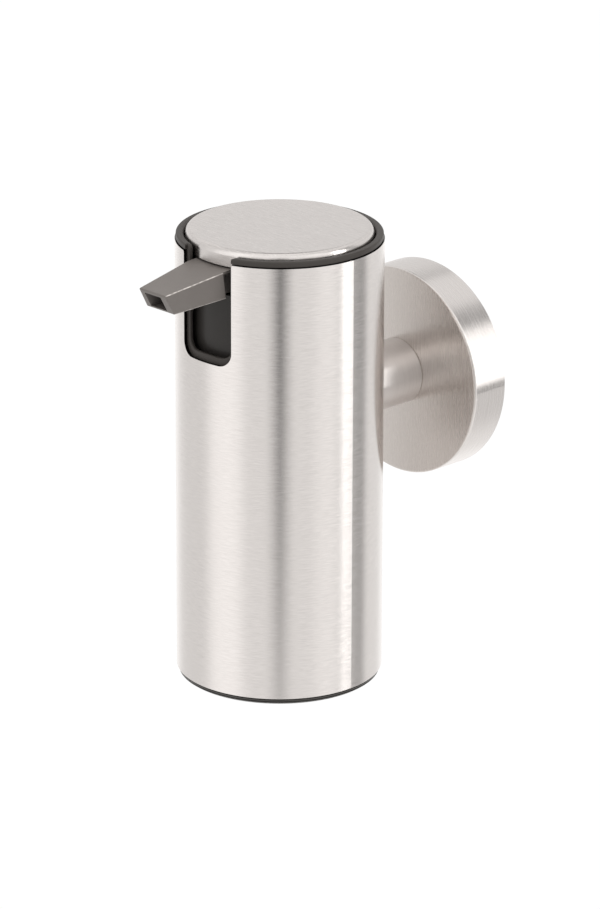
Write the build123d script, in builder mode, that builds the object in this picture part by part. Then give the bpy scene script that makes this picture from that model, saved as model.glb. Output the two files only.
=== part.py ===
from build123d import *
import os
from math import sqrt

# Wall mounted soap dispenser, in millimetres.
# The origin is the centre of the wall rosette's back face. +Z is up and -Y points out of the wall,
# towards the spout. The holder's upright axis stands body_standoff in front of the wall.
# Heights written as height(...) are measured up from the underside of the holder.

# Driving dimensions
body_radius = 30.0  # steel sleeve, outside
sleeve_wall = 1.0
body_standoff = 61.2  # wall face to the sleeve's axis
arm_height = 80.4  # holder underside to the arm's centre line
arm_radius = 9.75
rosette_radius = 31.3
rosette_depth = 12.3
rosette_wall = 1.5
cap_exposed = 1.5  # plastic rim of the base cap that shows under the sleeve
shadow_gap = 0.4  # thin groove where plastic meets the sleeve's end
sleeve_top = 132.1
collar_top = 134.0
lid_top = 135.5
running_gap = 0.05  # radial, for a shaft that slides in a hole

# Sleeve notch and the narrower slot of the plastic liner behind it
notch_half_width = 9.7
notch_bottom = 101.5
notch_corner = 4.2
notch_mouth = 0.6  # rounding of the notch's upper corners
slot_half_width = 8.45
slot_offset = 0.4  # the liner sits turned a little towards +X
slot_bottom = 103.6
slot_corner = 3.4
slot_mouth = 1.2
slot_rounding = 0.4  # front edge of the slot
slot_inner_rounding = 0.95  # back edge of the slot and the collar's inner edge
liner_outer = 28.9
liner_inner = 27.4
liner_bottom = 94.0

# Push head
lid_radius = 27.0
lid_height = 5.0
lid_sheet = 0.8
skirt_wall = 1.2
skirt_bottom = 100.0
spout_shoulder = 29.1  # axis to the top of the nozzle's rear end, level with the sleeve
spout_shoulder_low = 28.1  # axis to the bottom of the nozzle's rear end
spout_top_shoulder = 129.7
spout_half_shoulder = 7.65
spout_bottom_root = 121.8
spout_reach = 49.75  # axis to the top of the tip
spout_top_tip = 126.8
spout_half_tip = 5.4
spout_bottom_tip = 120.7
spout_reach_low = 46.3  # axis to the bottom of the tip
spout_edge = 0.4  # rounding of the spout's edges

# Container and pump
container_radius = 26.4
container_wall = 1.5
container_floor = 5.0  # underside of the container
container_shoulder = 84.0
neck_radius = 16.0
neck_wall = 2.0
neck_top = 94.0
stem_radius = 3.6
stem_bore = 1.9
barrel_radius = 8.0
barrel_bore = 6.6
barrel_bottom = 48.0
flange_top = 96.0


def height(level):
    """Level above the holder's underside, as a Z coordinate."""
    return level - arm_height


def axis_plane(level):
    """Horizontal plane on the holder's upright axis."""
    return Plane(origin=(0, -body_standoff, height(level)))


def section_plane():
    """Upright section through the holder's axis: local x is the radius, local y is the height."""
    return Plane(origin=(0, -body_standoff, height(0)), x_dir=(1, 0, 0), z_dir=(0, -1, 0))


def front_plane(distance):
    """Upright plane that faces the user, distance in front of the holder's axis."""
    return Plane(origin=(0, -body_standoff - distance, height(0)), x_dir=(1, 0, 0), z_dir=(0, -1, 0))


def wall_plane(distance):
    """Upright plane distance in front of the wall, facing out of the wall, with local y up."""
    return Plane(origin=(0, -distance, 0), x_dir=(1, 0, 0), z_dir=(0, -1, 0))


def turned(outline):
    """Solid of revolution about the holder's axis, from (radius, height) points."""
    with BuildPart() as piece:
        with BuildSketch(section_plane()):
            with BuildLine():
                Polyline(*outline, close=True)
            make_face()
        revolve(axis=Axis((0, -body_standoff, 0), (0, 0, 1)))
    return piece.part


def notch_profile(half_width, bottom, corner, top, mouth, offset=0):
    """U shaped cut-out, open at the top, whose upper corners are rounded by the mouth radius."""
    wide = half_width + 2 * mouth
    with BuildSketch() as sketch:
        with BuildLine():
            Polyline(
                (offset - wide, top),
                (offset - half_width, top),
                (offset - half_width, bottom),
                (offset + half_width, bottom),
                (offset + half_width, top),
                (offset + wide, top),
                (offset + wide, top + mouth),
                (offset - wide, top + mouth),
                close=True,
            )
        make_face()
        fillet(sketch.vertices().group_by(Axis.Y)[0], corner)
        fillet(sketch.vertices().group_by(Axis.Y)[-2].sort_by(Axis.X)[1:3], mouth)
    return sketch.sketch


def spout_side_plane(offset):
    """Upright plane at x = offset that faces -X: local x runs along the spout, local y is the height."""
    return Plane(origin=(offset, -body_standoff, height(0)), x_dir=(0, -1, 0), z_dir=(-1, 0, 0))


def save(piece, name):
    """Label a finished piece and write it to its own file."""
    piece.label = name
    export_step(piece, f"parts/{name}.step")


os.makedirs("parts", exist_ok=True)

# ---------------------------------------------------------------- wall mount

bracket_thickness = 2.5
bracket_rim_radius = 29.5
bracket_rim_depth = 6.5
bracket_rim_wall = 2.5
screw_spacing = 38.0
bracket_chamfer = 0.5
screw_slot_width = 4.6
screw_slot_length = 9.0
grub_radius = 2.0
grub_offset = 4.5  # wall face to the grub screw's axis
grub_length = 2.4
grub_recess = 0.3  # the screw's outer end under the rosette's side
grub_socket_radius = 1.0
grub_socket_depth = 1.4
grub_chamfer = 0.3
grub_bite = 2.2  # how far the hole goes into the bracket's rim
rosette_rounding = 0.7
arm_screw_radius = 2.5
arm_screw_head_radius = 5.0
arm_thread_depth = 11.0
arm_screw_play = 0.2  # radial, in the plates that the arm's screws pass through
arm_edge = 0.3
screw_socket_radius = 1.7
screw_socket_depth = 1.6
screw_socket_floor = 0.4
screw_head_rounding = 0.4
screw_head_height = 4.2

# Pressed steel cup that hides the bracket. The arm stands on its front face.
with BuildPart() as wall_rosette:
    with BuildSketch(wall_plane(0)):
        Circle(rosette_radius)
    extrude(amount=rosette_depth)
    fillet(wall_rosette.edges().group_by(Axis.Y)[0], rosette_rounding)
    with BuildSketch(wall_plane(0)):
        Circle(rosette_radius - rosette_wall)
    extrude(amount=rosette_depth - rosette_wall, mode=Mode.SUBTRACT)
    with BuildSketch(wall_plane(0)):
        Circle(arm_screw_radius + arm_screw_play)
    extrude(amount=rosette_depth, mode=Mode.SUBTRACT)
    with BuildSketch(Plane.XY.offset(-rosette_radius - 1)):
        with Locations((0, -grub_offset)):
            Circle(grub_radius)
    extrude(amount=2 * rosette_wall + 1, mode=Mode.SUBTRACT)
save(wall_rosette.part, "wall_rosette")

# Flat dish screwed to the wall. Its rim centres the rosette, and the grub screw bites into it.
with BuildPart() as wall_bracket:
    with BuildSketch(wall_plane(0)):
        Circle(bracket_rim_radius)
        with GridLocations(screw_spacing, 0, 2, 1):
            SlotOverall(screw_slot_length, screw_slot_width, mode=Mode.SUBTRACT)
    extrude(amount=bracket_thickness)
    with BuildSketch(wall_plane(bracket_thickness)):
        Circle(bracket_rim_radius)
        Circle(bracket_rim_radius - bracket_rim_wall, mode=Mode.SUBTRACT)
    extrude(amount=bracket_rim_depth - bracket_thickness)
    chamfer(wall_bracket.edges().group_by(Axis.Y)[0].sort_by(SortBy.RADIUS)[-1], bracket_chamfer)
    with BuildSketch(Plane.XY.offset(-rosette_radius - 1)):
        with Locations((0, -grub_offset)):
            Circle(grub_radius)
    extrude(amount=rosette_radius - bracket_rim_radius + grub_bite, mode=Mode.SUBTRACT)
save(wall_bracket.part, "wall_bracket")

# Socket set screw through the rosette's underside.
with BuildPart() as grub_screw:
    with BuildSketch(Plane.XY.offset(-rosette_radius + grub_recess)):
        with Locations((0, -grub_offset)):
            Circle(grub_radius - running_gap)
    extrude(amount=grub_length)
    chamfer(grub_screw.edges().group_by(Axis.Z)[-1], grub_chamfer)
    with BuildSketch(Plane.XY.offset(-rosette_radius + grub_recess)):
        with Locations((0, -grub_offset)):
            RegularPolygon(grub_socket_radius, 6)
    extrude(amount=grub_socket_depth, mode=Mode.SUBTRACT)
save(grub_screw.part, "grub_screw")

# Round bar between the rosette and the sleeve. Its free end is scooped to sit on the sleeve.
with BuildPart() as arm:
    with BuildSketch(wall_plane(rosette_depth)):
        Circle(arm_radius)
    extrude(amount=body_standoff - rosette_depth)
    fillet(arm.edges().group_by(Axis.Y)[-1], arm_edge)
    with BuildSketch(axis_plane(arm_height - 2 * arm_radius)):
        Circle(body_radius)
    extrude(amount=4 * arm_radius, mode=Mode.SUBTRACT)
    with BuildSketch(wall_plane(rosette_depth)):
        Circle(arm_screw_radius)
    extrude(amount=body_standoff, mode=Mode.SUBTRACT)
save(arm.part, "arm")


def arm_screw(face, outward, head_height, length):
    """Socket screw lying along Y. Its head stands on the face and its shank points along outward."""
    head_plane = Plane(origin=(0, face, 0), x_dir=(1, 0, 0), z_dir=(0, -outward, 0))
    with BuildPart() as screw:
        with BuildSketch(head_plane):
            Circle(arm_screw_head_radius)
        extrude(amount=head_height)
        fillet(screw.edges().sort_by(Axis.Y, reverse=outward < 0)[0], screw_head_rounding)
        with BuildSketch(head_plane.offset(head_height)):
            RegularPolygon(screw_socket_radius, 6)
        extrude(amount=-min(screw_socket_depth, head_height - screw_socket_floor), mode=Mode.SUBTRACT)
        with BuildSketch(head_plane):
            Circle(arm_screw_radius - running_gap)
        extrude(amount=-length)
    return screw.part


# Lock washer and screw inside the rosette, which pull the arm against the rosette's face.
washer_thickness = 1.2
washer_overhang = 1.5  # beyond the screw's head
rosette_inside = rosette_depth - rosette_wall  # wall to the back of the rosette's front
with BuildPart() as lock_washer:
    with BuildSketch(wall_plane(rosette_inside - washer_thickness)):
        Circle(arm_screw_head_radius + washer_overhang)
        Circle(arm_screw_radius + arm_screw_play, mode=Mode.SUBTRACT)
    extrude(amount=washer_thickness)
save(lock_washer.part, "lock_washer")
save(arm_screw(washer_thickness - rosette_inside, -1, screw_head_height, arm_thread_depth), "rosette_screw")

# ---------------------------------------------------------------- holder

# Curved plate and low head screw inside the sleeve, which spread the arm's load over the thin sheet.
saddle_thickness = 0.5
saddle_size = 18.0
saddle_corner = 3.0
saddle_outer = body_radius - sleeve_wall
with BuildPart() as saddle_plate:
    with BuildSketch(axis_plane(arm_height - saddle_size / 2)):
        Circle(saddle_outer)
        Circle(saddle_outer - saddle_thickness, mode=Mode.SUBTRACT)
    extrude(amount=saddle_size)
    with BuildSketch(wall_plane(body_standoff)):
        RectangleRounded(saddle_size, saddle_size, saddle_corner)
    extrude(amount=-body_radius, mode=Mode.INTERSECT)
    with BuildSketch(wall_plane(body_standoff)):
        Circle(arm_screw_radius + arm_screw_play)
    extrude(amount=-body_radius, mode=Mode.SUBTRACT)
save(saddle_plate.part, "saddle_plate")

sleeve_bottom = cap_exposed + shadow_gap
sleeve_edge = 0.15
with BuildPart() as outer_sleeve:
    with BuildSketch(axis_plane(sleeve_bottom)):
        Circle(body_radius)
        Circle(body_radius - sleeve_wall, mode=Mode.SUBTRACT)
    extrude(amount=sleeve_top - sleeve_bottom)
    with BuildSketch(front_plane(0)):
        add(notch_profile(notch_half_width, notch_bottom, notch_corner, sleeve_top, notch_mouth))
    extrude(amount=body_radius + 1, mode=Mode.SUBTRACT)
    with BuildSketch(wall_plane(body_standoff)):
        Circle(arm_screw_radius + arm_screw_play)
    extrude(amount=-body_radius - 1, mode=Mode.SUBTRACT)
    rims = outer_sleeve.edges().filter_by(GeomType.CIRCLE).group_by(Axis.Z)
    fillet(rims[0].sort_by(SortBy.RADIUS)[-1], sleeve_edge)
save(outer_sleeve.part, "outer_sleeve")

# The head's flat seat touches the saddle where the head's rim meets the curve.
sleeve_screw_head = 1.2
saddle_inner = saddle_outer - saddle_thickness
screw_seat = -body_standoff + sqrt(saddle_inner**2 - arm_screw_head_radius**2)
save(arm_screw(screw_seat, 1, sleeve_screw_head, arm_thread_depth), "sleeve_screw")

# Plug that closes the sleeve's underside. The container stands on the ring inside it.
cap_floor = 3.0
cap_plug_top = 12.0
cap_plug_wall = 1.6
cap_plug_lead = 1.0
stand_outer = 22.0
stand_inner = 19.0
cap_inside = body_radius - sleeve_wall
save(
    turned(
        [
            (0, 0),
            # Rim seen under the sleeve, with its fine groove
            (body_radius - 1.4, 0),
            (body_radius - 0.7, 0.5),
            (body_radius - 0.7, 0.75),
            (body_radius - 0.95, 0.85),
            (body_radius - 0.95, 0.95),
            (body_radius - 0.5, 1.05),
            (body_radius - 0.4, cap_exposed),
            # Shadow line, plug inside the sleeve and the ring that the container stands on
            (body_radius - 1.1, cap_exposed),
            (body_radius - 1.1, sleeve_bottom),
            (cap_inside, sleeve_bottom),
            (cap_inside, cap_plug_top - cap_plug_lead),
            (cap_inside - 0.6, cap_plug_top),
            (cap_inside - cap_plug_wall, cap_plug_top),
            (cap_inside - cap_plug_wall, cap_floor),
            (stand_outer, cap_floor),
            (stand_outer, container_floor),
            (stand_inner, container_floor),
            (stand_inner, cap_floor),
            (0, cap_floor),
        ]
    ),
    "base_cap",
)

# Plastic liner: a tube inside the sleeve with a slot at the front, and the flange that is seen on top.
flange_bottom = sleeve_top + shadow_gap
flange_radius = body_radius - 0.3
flange_rounding = 0.5
flange_end_gap = 0.3  # flange end to the edge of the sleeve's notch
with BuildPart() as liner_tube:
    with BuildSketch(axis_plane(liner_bottom)):
        Circle(liner_outer)
        Circle(liner_inner, mode=Mode.SUBTRACT)
    extrude(amount=collar_top - liner_bottom)
    with BuildSketch(front_plane(0)):
        add(notch_profile(slot_half_width, slot_bottom, slot_corner, collar_top, slot_mouth, slot_offset))
    extrude(amount=body_radius + 1, mode=Mode.SUBTRACT)
    # The rounding runs on from the top edges down the mouth and round the slot.
    outer_face = liner_tube.faces().filter_by(GeomType.CYLINDER).sort_by(SortBy.AREA)[-1]
    fillet(outer_face.edges().group_by(Axis.Z)[-1], slot_rounding)
    inner_face = liner_tube.faces().filter_by(GeomType.CYLINDER).sort_by(SortBy.AREA)[-2]
    fillet(inner_face.edges().group_by(Axis.Z)[-1], slot_inner_rounding)
with BuildPart() as liner_flange:
    with BuildSketch(axis_plane(flange_bottom)):
        Circle(flange_radius)
        Circle(liner_inner, mode=Mode.SUBTRACT)
    extrude(amount=collar_top - flange_bottom)
    fillet(liner_flange.edges().group_by(Axis.Z)[-1].sort_by(SortBy.RADIUS)[-1], flange_rounding)
    fillet(liner_flange.edges().group_by(Axis.Z)[-1].sort_by(SortBy.RADIUS)[0], slot_inner_rounding)
    with BuildSketch(front_plane(0)):
        flange_end = notch_half_width - flange_end_gap
        add(notch_profile(flange_end, slot_bottom, slot_corner, collar_top, flange_rounding))
    extrude(amount=body_radius + 1, mode=Mode.SUBTRACT)
save(liner_tube.part + liner_flange.part, "collar_liner")

# ---------------------------------------------------------------- container

# Bottle that stands inside the sleeve. Two beads stand for the thread on its neck.
bead = 0.8
save(
    turned(
        [
            (0, container_floor + 1.0),
            (18.0, container_floor + 1.0),
            (18.6, container_floor),
            (24.4, container_floor),
            (container_radius, container_floor + 2.0),
            (container_radius, container_shoulder),
            (container_radius - 0.6, container_shoulder + 0.6),
            (neck_radius, container_shoulder + 3.2),
            (neck_radius, 89.0),
            (neck_radius + bead, 89.5),
            (neck_radius, 90.0),
            (neck_radius, 91.5),
            (neck_radius + bead, 92.0),
            (neck_radius, 92.5),
            (neck_radius, neck_top),
            (neck_radius - neck_wall, neck_top),
            (neck_radius - neck_wall, container_shoulder + 1.2),
            (container_radius - container_wall - 0.6, container_shoulder - 1.6),
            (container_radius - container_wall, container_shoulder - 2.4),
            (container_radius - container_wall, container_floor + 3.6),
            (23.6, container_floor + 2.4),
            (0, container_floor + 2.4),
        ]
    ),
    "soap_container",
)

# ---------------------------------------------------------------- pump unit

cap_ring_radius = 20.0
cap_ring_bottom = 87.8
cap_ring_top = 98.2
cap_ring_hole = 9.0
cap_ring_rounding = 1.0
cap_ring_play = 0.3  # radial, over the neck's thread
grip_count = 24
grip_width = 1.2
grip_depth = 1.4
grip_rounding = 0.3
grip_stop = 1.5  # the grip grooves end this far under the ring's top
with BuildPart() as closure_ring:
    with BuildSketch(axis_plane(cap_ring_bottom)):
        Circle(cap_ring_radius)
        Circle(neck_radius + bead + cap_ring_play, mode=Mode.SUBTRACT)
    extrude(amount=flange_top - cap_ring_bottom)
    with BuildSketch(axis_plane(flange_top)):
        Circle(cap_ring_radius)
        Circle(cap_ring_hole, mode=Mode.SUBTRACT)
    extrude(amount=cap_ring_top - flange_top)
    fillet(closure_ring.edges().group_by(Axis.Z)[-1].sort_by(SortBy.RADIUS)[-1], cap_ring_rounding)
    with BuildSketch(axis_plane(cap_ring_bottom)):
        with PolarLocations(cap_ring_radius, grip_count):
            RectangleRounded(grip_width, grip_depth, grip_rounding)
    extrude(amount=cap_ring_top - cap_ring_bottom - grip_stop)
save(closure_ring.part, "closure_ring")

gasket_thickness = 0.8
gasket_inset = 0.1
with BuildPart() as neck_gasket:
    with BuildSketch(axis_plane(neck_top)):
        Circle(neck_radius - gasket_inset)
        Circle(neck_radius - neck_wall, mode=Mode.SUBTRACT)
    extrude(amount=gasket_thickness)
save(neck_gasket.part, "neck_gasket")

# Barrel that hangs in the container. A 45 degree seat for the inlet ball narrows its foot.
inlet_ball_radius = 2.6
inlet_bore = 1.5
inlet_chamber = 3.2
chamber_top = 52.0
inlet_seat = 47.3
nipple_radius = 4.2
dip_tube_radius = 3.0
nipple_bottom = 38.0
nipple_top = 46.0
dip_tube_bottom = 9.0
dip_tube_wall = 0.8
save(
    turned(
        [
            (barrel_bore, flange_top),
            (neck_radius - 0.4, flange_top),
            (neck_radius - 0.4, neck_top + gasket_thickness),
            (barrel_radius, neck_top + gasket_thickness),
            (barrel_radius, barrel_bottom + 1.5),
            (nipple_radius + 0.8, nipple_top - 1.5),
            (nipple_radius, nipple_top - 2.2),
            (nipple_radius, nipple_bottom),
            (dip_tube_radius, nipple_bottom),
            (dip_tube_radius, nipple_top),
            (inlet_bore, nipple_top),
            (inlet_bore, inlet_seat),
            (inlet_chamber, inlet_seat + inlet_chamber - inlet_bore),
            (inlet_chamber, chamber_top),
            (barrel_bore, chamber_top),
        ]
    ),
    "pump_barrel",
)

with BuildPart() as dip_tube:
    with BuildSketch(axis_plane(dip_tube_bottom)):
        Circle(dip_tube_radius)
        Circle(dip_tube_radius - dip_tube_wall, mode=Mode.SUBTRACT)
    extrude(amount=nipple_top - dip_tube_bottom)
save(dip_tube.part, "dip_tube")


def seated_ball(radius, bore, seat):
    """Ball a hair above its 45 degree seat, whose throat has the bore's radius at the seat level."""
    lift = 0.05
    centre = seat - bore + radius * sqrt(2) + lift
    with BuildPart() as ball:
        with BuildSketch(section_plane()):
            with BuildLine():
                CenterArc((0, centre), radius, -90, 180)
                Line((0, centre - radius), (0, centre + radius))
            make_face()
        revolve(axis=Axis((0, -body_standoff, 0), (0, 0, 1)))
    return ball.part


save(seated_ball(inlet_ball_radius, inlet_bore, inlet_seat), "inlet_ball")

# Perforated cup over the inlet ball. The return spring stands on it.
cage_top = 55.0
cage_web = 1.1
cage_wall = 1.6
cage_web_inset = 0.2
cage_hole_circle = 3.1
cage_hole_count = 4
cage_hole_radius = 1.1
with BuildPart() as ball_cage:
    with BuildSketch(axis_plane(chamber_top)):
        Circle(barrel_bore)
        Circle(barrel_bore - cage_wall, mode=Mode.SUBTRACT)
    extrude(amount=cage_top - chamber_top)
    with BuildSketch(axis_plane(cage_top - cage_web)):
        Circle(barrel_bore - cage_web_inset)
        with PolarLocations(cage_hole_circle, cage_hole_count):
            Circle(cage_hole_radius, mode=Mode.SUBTRACT)
    extrude(amount=cage_web)
save(ball_cage.part, "ball_cage")

piston_bottom = 77.0
piston_top = 83.0
spring_wire = 0.5
spring_radius = 5.2
spring_turns = 6.5
spring_length = piston_bottom - cage_top - 2 * spring_wire
with BuildPart() as return_spring:
    with BuildLine():
        Helix(
            pitch=spring_length / spring_turns,
            height=spring_length,
            radius=spring_radius,
            center=(0, -body_standoff, height(cage_top + spring_wire)),
        )
    with BuildSketch(
        Plane(
            origin=(spring_radius, -body_standoff, height(cage_top + spring_wire)),
            x_dir=(1, 0, 0),
            z_dir=(0, 1, 0),
        )
    ):
        Circle(spring_wire)
    sweep(is_frenet=True)
save(return_spring.part, "return_spring")

# Guide pressed into the barrel's mouth. The stem slides in it.
guide_bottom = 90.0
guide_lead = 0.5  # chamfer that helps it into the barrel
guide_flange = 1.6
guide_boss = 1.0
guide_boss_radius = 6.0
save(
    turned(
        [
            (stem_radius + running_gap, guide_bottom),
            (barrel_bore - guide_lead, guide_bottom),
            (barrel_bore, guide_bottom + guide_lead),
            (barrel_bore, flange_top),
            (barrel_radius + bead, flange_top),
            (barrel_radius + bead, flange_top + guide_flange),
            (guide_boss_radius, flange_top + guide_flange),
            (guide_boss_radius, flange_top + guide_flange + guide_boss),
            (stem_radius + running_gap, flange_top + guide_flange + guide_boss),
        ]
    ),
    "stem_guide",
)

# ---------------------------------------------------------------- push head

stem_top = 122.0
outlet_ball_radius = 2.1
outlet_bore = 1.2
outlet_seat = 77.4
outlet_chamber = 2.4
outlet_ledge = 81.6
save(
    turned(
        [
            (outlet_bore, piston_bottom),
            (stem_radius, piston_bottom),
            (stem_radius, stem_top),
            (stem_bore, stem_top),
            (stem_bore, outlet_ledge),
            (outlet_chamber, outlet_ledge),
            (outlet_chamber, outlet_seat + outlet_chamber - outlet_bore),
            (outlet_bore, outlet_seat),
        ]
    ),
    "pump_stem",
)
save(seated_ball(outlet_ball_radius, outlet_bore, outlet_seat), "outlet_ball")

# Soft piston with two lips that wipe the barrel.
piston_radius = barrel_bore - running_gap
lip_reach = 0.8
lip_edge = 0.6
lip_width = 1.6
lip_root = 2.4
save(
    turned(
        [
            (stem_radius, piston_bottom),
            (piston_radius - lip_reach, piston_bottom),
            (piston_radius, piston_bottom + lip_edge),
            (piston_radius, piston_bottom + lip_width),
            (piston_radius - lip_reach, piston_bottom + lip_root),
            (piston_radius - lip_reach, piston_top - lip_root),
            (piston_radius, piston_top - lip_width),
            (piston_radius, piston_top - lip_edge),
            (piston_radius - lip_reach, piston_top),
            (stem_radius, piston_top),
        ]
    ),
    "piston",
)

# Spout: a hub that sits on the stem, a tapered nozzle outside the sleeve and a narrow neck between
# them. A thin wing keeps the nozzle's full width over the neck, up to the lid.
hub_radius = 6.0
hub_bottom = 113.0
hub_top = 131.6
neck_half_width = 4.8
neck_start = 2.0
neck_drop = 0.6  # top of the neck under the wing's top
wing_start = 21.0
wing_thickness = 0.7
channel_half_width = 3.3
channel_offset = -0.3
channel_top_tip = 125.8
channel_top_hub = 126.6
channel_bottom_tip = 121.3
channel_bottom_hub = 123.2
channel_play = 0.3  # radial, round the stem's bore
overlap = 1.0  # how far a joined or cut block runs past the face that it meets
spout_slope = (spout_top_shoulder - spout_top_tip) / (spout_reach - spout_shoulder)
wing_top_start = spout_top_shoulder + spout_slope * (spout_shoulder - wing_start) / 2
with BuildPart() as spout:
    with BuildSketch(spout_side_plane(body_radius / 2)):
        with BuildLine():
            Polyline(
                (spout_shoulder_low, spout_bottom_root),
                (spout_reach_low, spout_bottom_tip),
                (spout_reach, spout_top_tip),
                (spout_shoulder, spout_top_shoulder),
                close=True,
            )
        make_face()
    extrude(amount=body_radius)
    with BuildSketch(axis_plane(hub_bottom)):
        with BuildLine():
            Polyline(
                (-spout_half_shoulder, -spout_shoulder_low),
                (-spout_half_tip, -spout_reach),
                (spout_half_tip, -spout_reach),
                (spout_half_shoulder, -spout_shoulder_low),
                close=True,
            )
        make_face()
    extrude(amount=hub_top - hub_bottom, mode=Mode.INTERSECT)
    fillet(spout.edges(), spout_edge)
    with BuildSketch(spout_side_plane(neck_half_width)):
        with BuildLine():
            Polyline(
                (neck_start, spout_bottom_root + spout_edge),
                (spout_shoulder + overlap, spout_bottom_root + spout_edge),
                (spout_shoulder + overlap, spout_top_shoulder - neck_drop - spout_slope),
                (neck_start, spout_top_shoulder - neck_drop),
                close=True,
            )
        make_face()
    extrude(amount=2 * neck_half_width)
    with BuildSketch(spout_side_plane(spout_half_shoulder - spout_edge)):
        with BuildLine():
            Polyline(
                (wing_start, wing_top_start - wing_thickness),
                (spout_shoulder + overlap, spout_top_shoulder - spout_slope - wing_thickness),
                (spout_shoulder + overlap, spout_top_shoulder - spout_slope),
                (spout_shoulder, spout_top_shoulder),
                (wing_start, wing_top_start),
                close=True,
            )
        make_face()
    extrude(amount=2 * (spout_half_shoulder - spout_edge))
    with BuildSketch(axis_plane(hub_bottom)):
        Circle(hub_radius)
    extrude(amount=hub_top - hub_bottom)
    with BuildSketch(axis_plane(hub_bottom)):
        Circle(stem_radius)
    extrude(amount=stem_top - hub_bottom, mode=Mode.SUBTRACT)
    with BuildSketch(axis_plane(stem_top)):
        Circle(stem_bore + channel_play)
    extrude(amount=channel_bottom_hub - stem_top + overlap, mode=Mode.SUBTRACT)
    with BuildSketch(spout_side_plane(channel_offset + channel_half_width)):
        with BuildLine():
            Polyline(
                (-stem_bore, channel_bottom_hub),
                (spout_reach_low - overlap, channel_bottom_tip),
                (spout_reach + overlap, channel_bottom_tip),
                (spout_reach + overlap, channel_top_tip),
                (-stem_bore, channel_top_hub),
                close=True,
            )
        make_face()
    extrude(amount=2 * channel_half_width, mode=Mode.SUBTRACT)
save(spout.part, "spout")

# Head carrier: a disc with a long skirt that hides the closure and slides inside the liner.
# The spout comes out through a window in the skirt.
disc_bottom = 132.0
cap_play = 0.1  # between the carrier and the steel cap pressed over it
disc_top = lid_top - lid_sheet - cap_play
skirt_radius = lid_radius - lid_sheet - cap_play
socket_bottom = 126.0
socket_wall = 1.6
disc_chamfer = 1.2
lid_bottom = lid_top - lid_height
window_gap = 0.2
window_half_width = 8.2
window_corner = 0.8
window_bottom = spout_bottom_root - window_gap
with BuildPart() as head_carrier:
    with BuildSketch(section_plane()):
        with BuildLine():
            Polyline(
                (0, disc_bottom),
                (skirt_radius - skirt_wall - disc_chamfer, disc_bottom),
                (skirt_radius - skirt_wall, disc_bottom - disc_chamfer),
                (skirt_radius - skirt_wall, skirt_bottom),
                (skirt_radius, skirt_bottom),
                (skirt_radius, disc_top - disc_chamfer),
                (skirt_radius - disc_chamfer, disc_top),
                (0, disc_top),
                close=True,
            )
        make_face()
    revolve(axis=Axis((0, -body_standoff, 0), (0, 0, 1)))
    with BuildSketch(axis_plane(socket_bottom)):
        Circle(hub_radius + socket_wall)
        Circle(hub_radius, mode=Mode.SUBTRACT)
    extrude(amount=disc_bottom - socket_bottom)
    with BuildSketch(front_plane(hub_radius + 1)):
        with Locations((0, (window_bottom + disc_bottom - disc_chamfer) / 2)):
            window_height = disc_bottom - disc_chamfer - window_bottom
            RectangleRounded(2 * window_half_width, window_height, window_corner)
    extrude(amount=body_radius, mode=Mode.SUBTRACT)
    with BuildSketch(front_plane(0)):
        with Locations((0, (window_bottom + spout_top_shoulder + overlap) / 2)):
            Rectangle(2 * (neck_half_width + window_gap), spout_top_shoulder + overlap - window_bottom)
    extrude(amount=body_radius / 2, mode=Mode.SUBTRACT)
save(head_carrier.part, "head_carrier")

# Steel push cap pressed over the carrier.
lid_rounding = 1.8
with BuildPart() as push_cap:
    with BuildSketch(axis_plane(lid_bottom)):
        Circle(lid_radius)
    extrude(amount=lid_height)
    fillet(push_cap.edges().group_by(Axis.Z)[-1], lid_rounding)
    with BuildSketch(axis_plane(lid_bottom)):
        Circle(lid_radius - lid_sheet)
    extrude(amount=lid_height - lid_sheet, mode=Mode.SUBTRACT)
save(push_cap.part, "push_cap")
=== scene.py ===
import math

import bpy
from mathutils import Matrix, Vector


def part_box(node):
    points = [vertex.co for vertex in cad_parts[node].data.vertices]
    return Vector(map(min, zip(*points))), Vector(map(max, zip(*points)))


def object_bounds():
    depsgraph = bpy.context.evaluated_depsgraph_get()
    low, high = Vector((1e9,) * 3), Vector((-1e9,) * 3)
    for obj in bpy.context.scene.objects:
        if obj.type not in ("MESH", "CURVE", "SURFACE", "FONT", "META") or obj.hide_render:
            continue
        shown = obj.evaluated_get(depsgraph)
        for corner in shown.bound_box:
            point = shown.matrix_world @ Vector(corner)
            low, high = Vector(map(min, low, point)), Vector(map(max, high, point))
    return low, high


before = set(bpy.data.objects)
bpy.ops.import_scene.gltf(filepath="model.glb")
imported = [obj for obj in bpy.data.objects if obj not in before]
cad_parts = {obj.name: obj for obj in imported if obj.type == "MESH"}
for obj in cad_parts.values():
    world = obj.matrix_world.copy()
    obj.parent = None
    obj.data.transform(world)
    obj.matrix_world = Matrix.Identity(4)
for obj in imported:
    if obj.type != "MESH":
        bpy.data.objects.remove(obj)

cad_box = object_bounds()

# The camera aims at the sleeve, and the card stands in front of it.
sleeve_low, sleeve_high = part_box("outer_sleeve")
SLEEVE_MIDDLE = (sleeve_low + sleeve_high) / 2

CAMERA_AZIMUTH = math.radians(45.717)  # from -Y towards +X
CAMERA_ELEVATION = math.radians(19.951)
CAMERA_ROLL = math.radians(0.164)
CAMERA_DISTANCE = 1.5435
CAMERA_AIM = Vector((0.00852, 0.0, 0.00135))  # from the sleeve's middle
CAMERA_LENS = 212.17  # millimetres, like the sensor
SENSOR = 36.0
CAMERA_REACH = 20.0  # how far it sees

# Directions over the brushing, a little off the axes so that none is exactly along a surface's normal.
WORLD_X = (1.0, 0.03, 0.02)
WORLD_Y = (0.02, 1.0, 0.03)
WORLD_Z = (0.03, 0.02, 1.0)
EVEN = (1, 1, 1)  # texture scale that stretches nothing


# ------------------------------------------------------------------ node helpers

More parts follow.
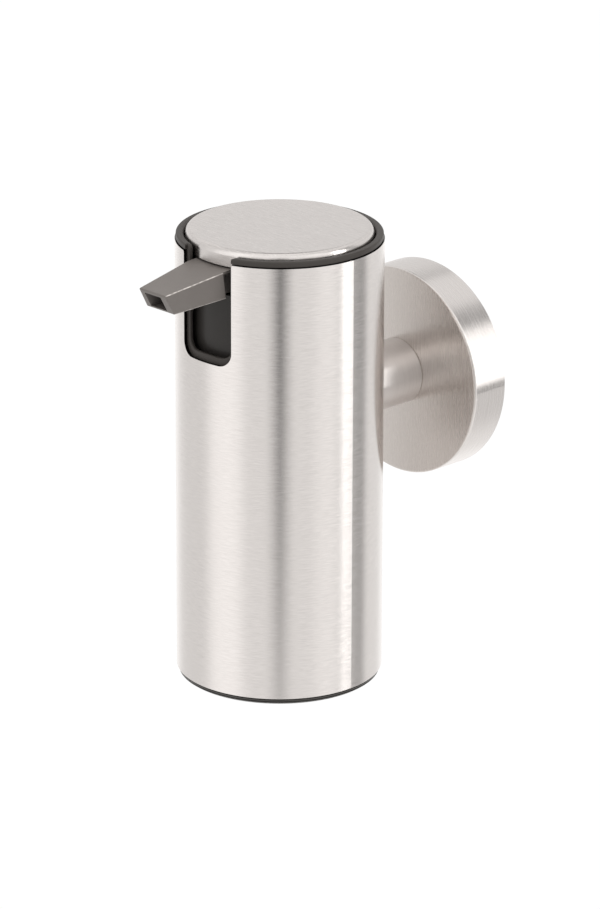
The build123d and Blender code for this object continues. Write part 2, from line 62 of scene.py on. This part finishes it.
def set_input(tree, socket, value):
    """Link another node's output to the socket, or set it to a number, a vector or a colour."""
    if isinstance(value, bpy.types.NodeSocket):
        tree.links.new(value, socket)
    elif socket.type == "RGBA":
        socket.default_value = (*value, 1.0)
    else:
        socket.default_value = value


def new_material(name):
    """A node material with an empty tree but for its shader and output."""
    material = bpy.data.materials.new(name)
    material.use_nodes = True
    tree = material.node_tree
    tree.nodes.clear()
    shader = tree.nodes.new("ShaderNodeBsdfPrincipled")
    output = tree.nodes.new("ShaderNodeOutputMaterial")
    tree.links.new(shader.outputs["BSDF"], output.inputs["Surface"])
    return material, tree, shader


def math_node(tree, operation, first, second=0.0):
    """One math node. Each value is a number or another node's output."""
    node = tree.nodes.new("ShaderNodeMath")
    node.operation = operation
    set_input(tree, node.inputs[0], first)
    set_input(tree, node.inputs[1], second)
    return node.outputs["Value"]


def noise(tree, vector, scale, detail=2.0, roughness=0.5):
    """Noise texture read at the vector, as its 0 to 1 factor."""
    node = tree.nodes.new("ShaderNodeTexNoise")
    node.inputs["Scale"].default_value = scale
    node.inputs["Detail"].default_value = detail
    node.inputs["Roughness"].default_value = roughness
    tree.links.new(vector, node.inputs["Vector"])
    return node.outputs["Fac"]


def stretched(tree, scale):
    """Object coordinates in metres, multiplied per axis."""
    coordinates = tree.nodes.new("ShaderNodeTexCoord")
    mapping = tree.nodes.new("ShaderNodeMapping")
    mapping.inputs["Scale"].default_value = scale
    tree.links.new(coordinates.outputs["Object"], mapping.inputs["Vector"])
    return mapping.outputs["Vector"]


def remap(tree, value, low, high, from_low=0.3, from_high=0.7, smooth=False):
    """The value moved from one range to another, and held at its ends. Noise mostly fills 0.3 to 0.7."""
    node = tree.nodes.new("ShaderNodeMapRange")
    node.interpolation_type = "SMOOTHSTEP" if smooth else "LINEAR"
    node.inputs["From Min"].default_value = from_low
    node.inputs["From Max"].default_value = from_high
    node.inputs["To Min"].default_value = low
    node.inputs["To Max"].default_value = high
    tree.links.new(value, node.inputs["Value"])
    return node.outputs["Result"]


def mixed(tree, factor, first, second, kind="FLOAT"):
    """Value that goes from first to second as the factor goes from 0 to 1. kind is the socket's type:
    FLOAT, VECTOR or RGBA."""
    node = tree.nodes.new("ShaderNodeMix")
    node.data_type = kind
    set_input(tree, node.inputs["Factor"], factor)
    set_input(tree, node.inputs["A"], first)
    set_input(tree, node.inputs["B"], second)
    return node.outputs["Result"]


def bump(tree, value, strength, distance):
    """Normal disturbed by the value as a height."""
    node = tree.nodes.new("ShaderNodeBump")
    node.inputs["Strength"].default_value = strength
    node.inputs["Distance"].default_value = distance
    tree.links.new(value, node.inputs["Height"])
    return node.outputs["Normal"]


def constant_vector(tree, vector):
    """A fixed vector."""
    node = tree.nodes.new("ShaderNodeCombineXYZ")
    for socket, value in zip(node.inputs, vector):
        socket.default_value = value
    return node.outputs["Vector"]


def facing(tree, axis):
    """How squarely the surface faces along the axis, either way: 1 where it does, 0 where it is parallel."""
    geometry = tree.nodes.new("ShaderNodeNewGeometry")
    parts = tree.nodes.new("ShaderNodeSeparateXYZ")
    tree.links.new(geometry.outputs["Normal"], parts.inputs["Vector"])
    return math_node(tree, "ABSOLUTE", parts.outputs[axis])


def vector_node(tree, operation, first, second=None):
    """One vector math node. Each vector is fixed or another node's output."""
    node = tree.nodes.new("ShaderNodeVectorMath")
    node.operation = operation
    set_input(tree, node.inputs[0], first)
    if second is not None:
        set_input(tree, node.inputs[1], second)
    return node


def radial(tree):
    """How squarely the surface faces the sleeve's axis or away from it: 1 on the tube, 0 on its cut edges."""
    coordinates = tree.nodes.new("ShaderNodeTexCoord")
    geometry = tree.nodes.new("ShaderNodeNewGeometry")
    axis_point = (SLEEVE_MIDDLE.x, SLEEVE_MIDDLE.y, 0.0)
    from_axis = vector_node(tree, "SUBTRACT", coordinates.outputs["Object"], axis_point)
    level = vector_node(tree, "MULTIPLY", from_axis.outputs["Vector"], (1.0, 1.0, 0.0))
    outward = vector_node(tree, "NORMALIZE", level.outputs["Vector"])
    squareness = vector_node(tree, "DOT_PRODUCT", outward.outputs["Vector"], geometry.outputs["Normal"])
    return math_node(tree, "ABSOLUTE", squareness.outputs["Value"])


# ------------------------------------------------------------------ materials

# Dark and light tone, between which the brushing lines go.
STEEL_TONES = ((0.686, 0.653, 0.634), (0.782, 0.748, 0.729))
ROSETTE_TONES = ((0.622, 0.582, 0.554), (0.685, 0.643, 0.613))
LID_TONES = ((0.628, 0.594, 0.577), (0.794, 0.758, 0.738))
CUT_EDGE_SHADE = (0.035, 0.031, 0.029)  # painted shade on the sheet's cut edges: a dark colour standing in for their shadow and the dark they reflect

# Scale of the brushing's noise, per metre: large across the lines, small along them.
FINE = 3800.0
VERY_FINE = 6500.0
LONG = 320.0
VERY_LONG = LONG / 5

BRUSHING = (1.0, 4.0, 0.7)  # scale, detail and roughness of the noise, on coordinates already scaled
BRUSHING_RELIEF = (0.08, 0.00001)  # strength and depth of its bumps
ANISOTROPY = 0.85
FACED = (0.69, 0.71)  # part of the normal along the axis, at about 45 degrees, where a face's own look begins
CUT_EDGE_TURN = (0.75, 0.9)  # part of the normal away from the tube's axis, from a cut edge to the round side


def brushed_steel(name, grain, across, roughness=(0.20, 0.27), face=None):
    """Brushed stainless steel. grain is the noise's scale per axis, small along the brushing. across is
    the direction over the brushing, in which reflections spread. face is (axis, grain, across, tones)
    for the surfaces that face along that axis, either way."""
    material, tree, shader = new_material(name)
    lines = noise(tree, stretched(tree, grain), *BRUSHING)
    tangent = constant_vector(tree, across)
    if face is not None:
        axis, face_grain, face_across, face_tones = face
        faced = remap(tree, facing(tree, axis), 0.0, 1.0, *FACED)
        lines = mixed(tree, faced, lines, noise(tree, stretched(tree, face_grain), *BRUSHING))
        tangent = mixed(tree, faced, across, face_across, "VECTOR")
    tone = remap(tree, lines, 0.0, 1.0)
    colour = mixed(tree, tone, *STEEL_TONES, "RGBA")
    if face is not None:
        colour = mixed(tree, faced, colour, mixed(tree, tone, *face_tones, "RGBA"), "RGBA")
    tree.links.new(colour, shader.inputs["Base Color"])
    tree.links.new(remap(tree, lines, *roughness), shader.inputs["Roughness"])
    tree.links.new(bump(tree, lines, *BRUSHING_RELIEF), shader.inputs["Normal"])
    tree.links.new(tangent, shader.inputs["Tangent"])
    shader.inputs["Metallic"].default_value = 1.0
    shader.inputs["Anisotropic"].default_value = ANISOTROPY
    return material


def paint_cut_edge_shade(material):
    """Paint shade on the sheet's cut edges: a dark colour in place of the brushed one, standing in for their
    shadow and the dark they reflect.
    """
    tree = material.node_tree
    shader = next(node for node in tree.nodes if node.type == "BSDF_PRINCIPLED")
    brushed = shader.inputs["Base Color"].links[0].from_socket
    edge = remap(tree, radial(tree), 1.0, 0.0, *CUT_EDGE_TURN, smooth=True)
    tree.links.new(mixed(tree, edge, brushed, CUT_EDGE_SHADE, "RGBA"), shader.inputs["Base Color"])


# Spark-eroded grain of moulded plastic: scale, detail and roughness of its noise, and its bumps.
MOULD_GRAIN = (6000.0, 3.0, 0.6)
MOULD_RELIEF = (0.15, 0.00003)
CLOUDS = (90.0, 2.0)  # slow change of the colour
RUB_PATCHES = (900.0, 3.0)
RUB_PATCH_TURN = (0.35, 0.6)  # noise from the least rubbed patches to the most rubbed ones
RUB_STRENGTH = (0.35, 1.0)
RUB_AND_HIGHLIGHT_TURN = (0.2, 0.42)  # how far an edge has to be turned both up and aside to be rubbed and to carry the painted highlight


def satin_plastic(name, dark, light, roughness=(0.38, 0.5), sheen=0.5, wear_and_highlight=None):
    """Moulded plastic with a fine spark-eroded grain. The colour given for wear goes on its rubbed upper
    edges, and is partly wear, partly a painted highlight along those edges.
    """
    material, tree, shader = new_material(name)
    shader.inputs["Specular IOR Level"].default_value = sheen
    grain = noise(tree, stretched(tree, EVEN), *MOULD_GRAIN)
    clouds = noise(tree, stretched(tree, EVEN), *CLOUDS)
    colour = mixed(tree, remap(tree, clouds, 0.0, 1.0), dark, light, "RGBA")
    # Light colour on edges turned both up and aside: partly rubbed wear, partly a painted highlight along
    # them.
    if wear_and_highlight is not None:
        edge = math_node(tree, "MULTIPLY", facing(tree, "X"), facing(tree, "Z"))
        rubbed = remap(tree, edge, 0.0, 1.0, *RUB_AND_HIGHLIGHT_TURN, smooth=True)
        spots = noise(tree, stretched(tree, EVEN), *RUB_PATCHES)
        patches = remap(tree, spots, *RUB_STRENGTH, *RUB_PATCH_TURN)
        colour = mixed(tree, math_node(tree, "MULTIPLY", rubbed, patches), colour, wear_and_highlight, "RGBA")
    tree.links.new(colour, shader.inputs["Base Color"])
    tree.links.new(remap(tree, grain, *roughness), shader.inputs["Roughness"])
    tree.links.new(bump(tree, grain, *MOULD_RELIEF), shader.inputs["Normal"])
    return material


AROUND_Z = (LONG, LONG, FINE)  # lines round an upright tube
AROUND_Y = (VERY_LONG, VERY_FINE, VERY_LONG)  # lines round the rosette and the arm
CAP_FACE = ("Z", (LONG, FINE, LONG), WORLD_Y, LID_TONES)
ROSETTE_FACE = ("Y", (VERY_FINE, VERY_LONG, VERY_LONG), WORLD_X, ROSETTE_TONES)

sleeve_steel = brushed_steel("steel_sleeve", AROUND_Z, WORLD_Z)
# The sleeve's cut edges get painted shade.
paint_cut_edge_shade(sleeve_steel)
cap_steel = brushed_steel("steel_cap", AROUND_Z, WORLD_Z, roughness=(0.22, 0.28), face=CAP_FACE)
rosette_steel = brushed_steel("steel_rosette", AROUND_Y, WORLD_Y, roughness=(0.22, 0.3), face=ROSETTE_FACE)
arm_steel = brushed_steel("steel_arm", AROUND_Y, WORLD_Y, roughness=(0.28, 0.34))
screw_steel = brushed_steel("steel_screws", AROUND_Y, WORLD_Y, roughness=(0.18, 0.24))

zinc = satin_plastic("zinc_casting", (0.38, 0.39, 0.40), (0.46, 0.47, 0.48))
# The spout's light edge colour is partly wear and partly a painted highlight on its rubbed upper edges.
spout_plastic = satin_plastic(
    "plastic_spout", (0.152, 0.136, 0.126), (0.166, 0.150, 0.139), sheen=0.3,
    wear_and_highlight=(0.62, 0.58, 0.55),
)
collar_plastic = satin_plastic(
    "plastic_collar", (0.050, 0.044, 0.040), (0.057, 0.051, 0.047), roughness=(0.42, 0.50), sheen=0.2,
)
base_plastic = satin_plastic(
    "plastic_base", (0.042, 0.038, 0.035), (0.048, 0.044, 0.041), roughness=(0.34, 0.42), sheen=0.4,
)
# The head carrier's dark plastic, partly its own colour and partly painted shade for the deep recess behind
# the notch.
skirt_plastic_with_painted_shade = satin_plastic(
    "plastic_skirt_painted_shade", (0.030, 0.027, 0.025), (0.035, 0.032, 0.030), roughness=(0.30, 0.38), sheen=0.2,
)
bottle_plastic = satin_plastic("plastic_bottle", (0.05, 0.048, 0.047), (0.06, 0.058, 0.057))
white_plastic = satin_plastic("plastic_white", (0.70, 0.70, 0.68), (0.76, 0.76, 0.74))
seal_rubber = satin_plastic("rubber_seal", (0.05, 0.05, 0.05), (0.07, 0.07, 0.07), roughness=(0.55, 0.7))

FINISHES = (
    (sleeve_steel, ("outer_sleeve",)),
    (cap_steel, ("push_cap",)),
    (rosette_steel, ("wall_rosette",)),
    (arm_steel, ("arm",)),
    (screw_steel, (
        "grub_screw", "rosette_screw", "lock_washer", "sleeve_screw", "saddle_plate",
        "return_spring", "inlet_ball", "outlet_ball",
    )),
    (zinc, ("wall_bracket",)),
    (spout_plastic, ("spout",)),
    (collar_plastic, ("collar_liner",)),
    (base_plastic, ("base_cap",)),
    (skirt_plastic_with_painted_shade, ("head_carrier",)),
    (bottle_plastic, ("soap_container",)),
    (white_plastic, ("closure_ring", "pump_barrel", "stem_guide", "dip_tube", "ball_cage", "pump_stem")),
    (seal_rubber, ("neck_gasket", "piston")),
)
for finish, nodes in FINISHES:
    for node in nodes:
        for material_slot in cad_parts[node].material_slots:
            material_slot.material = finish


# ------------------------------------------------------------------ camera

def direction(azimuth, elevation):
    """Unit vector towards the azimuth, measured from -Y towards +X, and the elevation."""
    return Vector((
        math.sin(azimuth) * math.cos(elevation),
        -math.cos(azimuth) * math.cos(elevation),
        math.sin(elevation),
    ))


def to_the_right():
    """Level unit vector to the camera's right."""
    return Vector((math.cos(CAMERA_AZIMUTH), math.sin(CAMERA_AZIMUTH), 0.0))


def add_camera():
    """Camera that looks at the sleeve from the right and from above, through a long lens."""
    data = bpy.data.cameras.new("camera")
    data.sensor_width = SENSOR
    data.lens = CAMERA_LENS
    data.clip_end = CAMERA_REACH
    camera = bpy.data.objects.new("camera", data)
    bpy.context.scene.collection.objects.link(camera)
    back = direction(CAMERA_AZIMUTH, CAMERA_ELEVATION)
    right = to_the_right()
    up = back.cross(right)
    rolled_right = math.cos(CAMERA_ROLL) * right + math.sin(CAMERA_ROLL) * up
    rolled_up = -math.sin(CAMERA_ROLL) * right + math.cos(CAMERA_ROLL) * up
    rotation = Matrix((rolled_right, rolled_up, back)).transposed().to_4x4()
    camera.matrix_world = Matrix.Translation(SLEEVE_MIDDLE + CAMERA_AIM + CAMERA_DISTANCE * back) @ rotation
    bpy.context.scene.camera = camera


# ------------------------------------------------------------------ studio

FLOOR_DROP = 0.12  # below the object
FLOOR_HALF = 6.0
FLOOR_LIGHT = 1.02
SQUARE = ((-1, -1), (1, -1), (1, 1), (-1, 1))  # corners in order


def add_sheet(name, corners, place):
    """Flat sheet with the four corners, in one face."""
    mesh = bpy.data.meshes.new(name)
    mesh.from_pydata(corners, [], [(0, 1, 2, 3)])
    sheet = bpy.data.objects.new(name, mesh)
    sheet.location = place
    bpy.context.scene.collection.objects.link(sheet)
    return sheet


def sheet_tree(sheet, name):
    """Empty node tree of a new material on the sheet."""
    material = bpy.data.materials.new(name)
    material.use_nodes = True
    material.node_tree.nodes.clear()
    sheet.data.materials.append(material)
    return material.node_tree


def light_of(tree, strength):
    """Even light of the given strength, sent out by the surface."""
    glow = tree.nodes.new("ShaderNodeEmission")
    glow.inputs["Strength"].default_value = strength
    return glow.outputs["Emission"]


def show(tree, factor, first, second, output="ShaderNodeOutputMaterial"):
    """Output that shows the first shader where the factor is 0 and the second where it is 1."""
    choice = tree.nodes.new("ShaderNodeMixShader")
    tree.links.new(factor, choice.inputs["Fac"])
    tree.links.new(first, choice.inputs[1])
    tree.links.new(second, choice.inputs[2])
    surface = tree.nodes.new(output).inputs["Surface"]
    tree.links.new(choice.outputs["Shader"], surface)


def add_floor():
    """White floor that glows, is left out of reflections and is clear from below."""
    corners = [(side * FLOOR_HALF, end * FLOOR_HALF, 0) for side, end in SQUARE]
    floor = add_sheet("floor", corners, (0, 0, cad_box[0][2] - FLOOR_DROP))
    tree = sheet_tree(floor, "floor_white")
    glow = light_of(tree, FLOOR_LIGHT)
    clear = tree.nodes.new("ShaderNodeBsdfTransparent").outputs["BSDF"]
    geometry = tree.nodes.new("ShaderNodeNewGeometry")
    show(tree, geometry.outputs["Backfacing"], glow, clear)
    floor.visible_glossy = False


# What the steel reflects, as a person would set it up in a light tent. Azimuths are in degrees from
# the camera, positive to its right; elevations are in degrees. Each entry has its azimuth, half its
# width, how softly its sides end, its lowest and highest elevation, how softly they end, and the
# light that it adds to the tent's own, or takes from it.
TENT_LIGHT = 0.93
PANELS = {
    "floor_sweep": (0, 360, 1, -90, -35, 12, 0.10),
    "left_box": (-63, 8, 24, -60, 60, 10, 0.27),
    "left_shade": (-112, 12, 20, -60, 60, 10, -0.07),
    "right_box": (79, 4, 6, -13, 36, 3, 3.0),
    "right_glow": (62, 10, 22, -60, 60, 10, 0.14),
    "box_frame_low": (88, 18, 12, -18, -15, 2, -0.8),
    "box_frame_high": (103, 14, 8, 36, 41, 2, -0.85),
    "right_flag": (99, 5, 10, -60, 60, 10, -0.36),
    "back_wall": (180, 15, 30, -60, -8, 5, 0.22),
    "back_dim": (180, 60, 30, 2, 30, 8, -0.06),
    "far_gap": (180, 10, 12, 42, 66, 4, -0.6),
    "ceiling": (0, 360, 1, 78, 90, 6, 0.35),
    "front_high": (0, 50, 25, 24, 66, 12, 0.22),
}
TENT_COLOUR = (1.0, 0.99, 0.98)
BEHIND_COLOUR = (1.0, 1.0, 1.0)
# Even light on the plastic, from below and from above, and the heights between which it changes.
SOFT_LIGHT = (0.05, 1.65)
SOFT_LIGHT_TURN = (-0.3, 0.9)


def tent_panel(tree, azimuth, elevation, shape):
    """Light that one panel adds where the ray's azimuth and elevation meet it."""
    centre, half_width, soft, lowest, highest, soft_ends, added = shape
    turned = math_node(tree, "SUBTRACT", azimuth, CAMERA_AZIMUTH + math.radians(centre))
    aside = math_node(tree, "DEGREES", math_node(tree, "ARCCOSINE", math_node(tree, "COSINE", turned)))
    across = remap(tree, aside, 1.0, 0.0, half_width, half_width + soft, smooth=True)
    bottom = remap(tree, elevation, 0.0, 1.0, lowest - soft_ends, lowest + soft_ends, smooth=True)
    top = remap(tree, elevation, 1.0, 0.0, highest - soft_ends, highest + soft_ends, smooth=True)
    window = math_node(tree, "MULTIPLY", across, math_node(tree, "MULTIPLY", bottom, top))
    return math_node(tree, "MULTIPLY", window, added)


def background(tree, colour):
    """Node that shows one colour all round."""
    node = tree.nodes.new("ShaderNodeBackground")
    set_input(tree, node.inputs["Color"], colour)
    return node


def add_world():
    """The tent in reflections, an even light on matt surfaces, and plain white behind."""
    world = bpy.data.worlds.new("studio")
    world.use_nodes = True
    tree = world.node_tree
    tree.nodes.clear()
    coordinates = tree.nodes.new("ShaderNodeTexCoord")
    parts = tree.nodes.new("ShaderNodeSeparateXYZ")
    tree.links.new(coordinates.outputs["Generated"], parts.inputs["Vector"])
    forward = math_node(tree, "MULTIPLY", parts.outputs["Y"], -1.0)
    azimuth = math_node(tree, "ARCTAN2", parts.outputs["X"], forward)
    elevation = math_node(tree, "DEGREES", math_node(tree, "ARCSINE", parts.outputs["Z"]))
    light = TENT_LIGHT
    for shape in PANELS.values():
        light = math_node(tree, "ADD", light, tent_panel(tree, azimuth, elevation, shape))
    even = remap(tree, parts.outputs["Z"], *SOFT_LIGHT, *SOFT_LIGHT_TURN)
    path = tree.nodes.new("ShaderNodeLightPath")
    tent = background(tree, TENT_COLOUR)
    tree.links.new(mixed(tree, path.outputs["Is Diffuse Ray"], light, even), tent.inputs["Strength"])
    behind = background(tree, BEHIND_COLOUR)
    is_seen = path.outputs["Is Camera Ray"]
    show(tree, is_seen, tent.outputs["Background"], behind.outputs["Background"], "ShaderNodeOutputWorld")
    bpy.context.scene.world = world


CARD_DISTANCE = 0.45  # from the sleeve's middle, like the heights
CARD_WIDTH = 0.26
CARD_ASIDE = 0.009  # to the camera's right
CARD_LOW = -0.42
CARD_HIGH = 0.38
CARD_LIGHT = 0.02
CARD_SIDES = 1.5  # how steeply the card thins out to its sides
CARD_FADE_LOW = (0.10, 0.46)  # parts of its height
CARD_FADE_HIGH = (0.58, 1.0)


def add_camera_card():
    """Dark card in front of the lens, which the sleeve reflects as one soft upright line."""
    towards = direction(CAMERA_AZIMUTH, 0.0)
    right = to_the_right()
    levels = {-1: CARD_LOW, 1: CARD_HIGH}
    corners = [right * (side * CARD_WIDTH / 2) + Vector((0, 0, levels[end])) for side, end in SQUARE]
    card = add_sheet("camera_card", corners, SLEEVE_MIDDLE + CARD_DISTANCE * towards + CARD_ASIDE * right)
    layer = card.data.uv_layers.new(name="UVMap")
    for loop, (side, end) in zip(layer.data, SQUARE):
        loop.uv = ((side + 1) / 2, (end + 1) / 2)
    tree = sheet_tree(card, "card_grey")
    coordinates = tree.nodes.new("ShaderNodeTexCoord")
    parts = tree.nodes.new("ShaderNodeSeparateXYZ")
    tree.links.new(coordinates.outputs["UV"], parts.inputs["Vector"])
    aside = math_node(tree, "ABSOLUTE", math_node(tree, "SUBTRACT", parts.outputs["X"], 0.5))
    across = math_node(tree, "POWER", remap(tree, aside, 1.0, 0.0, 0.0, 0.5), CARD_SIDES)
    low = remap(tree, parts.outputs["Y"], 0.0, 1.0, *CARD_FADE_LOW, smooth=True)
    high = remap(tree, parts.outputs["Y"], 1.0, 0.0, *CARD_FADE_HIGH, smooth=True)
    solid = math_node(tree, "MULTIPLY", across, math_node(tree, "MULTIPLY", low, high))
    clear = tree.nodes.new("ShaderNodeBsdfTransparent").outputs["BSDF"]
    show(tree, solid, clear, light_of(tree, CARD_LIGHT))
    card.visible_camera = False
    card.visible_diffuse = False
    card.visible_shadow = False


add_camera()
add_floor()
add_world()
add_camera_card()

bpy.context.scene.view_settings.view_transform = "Standard"
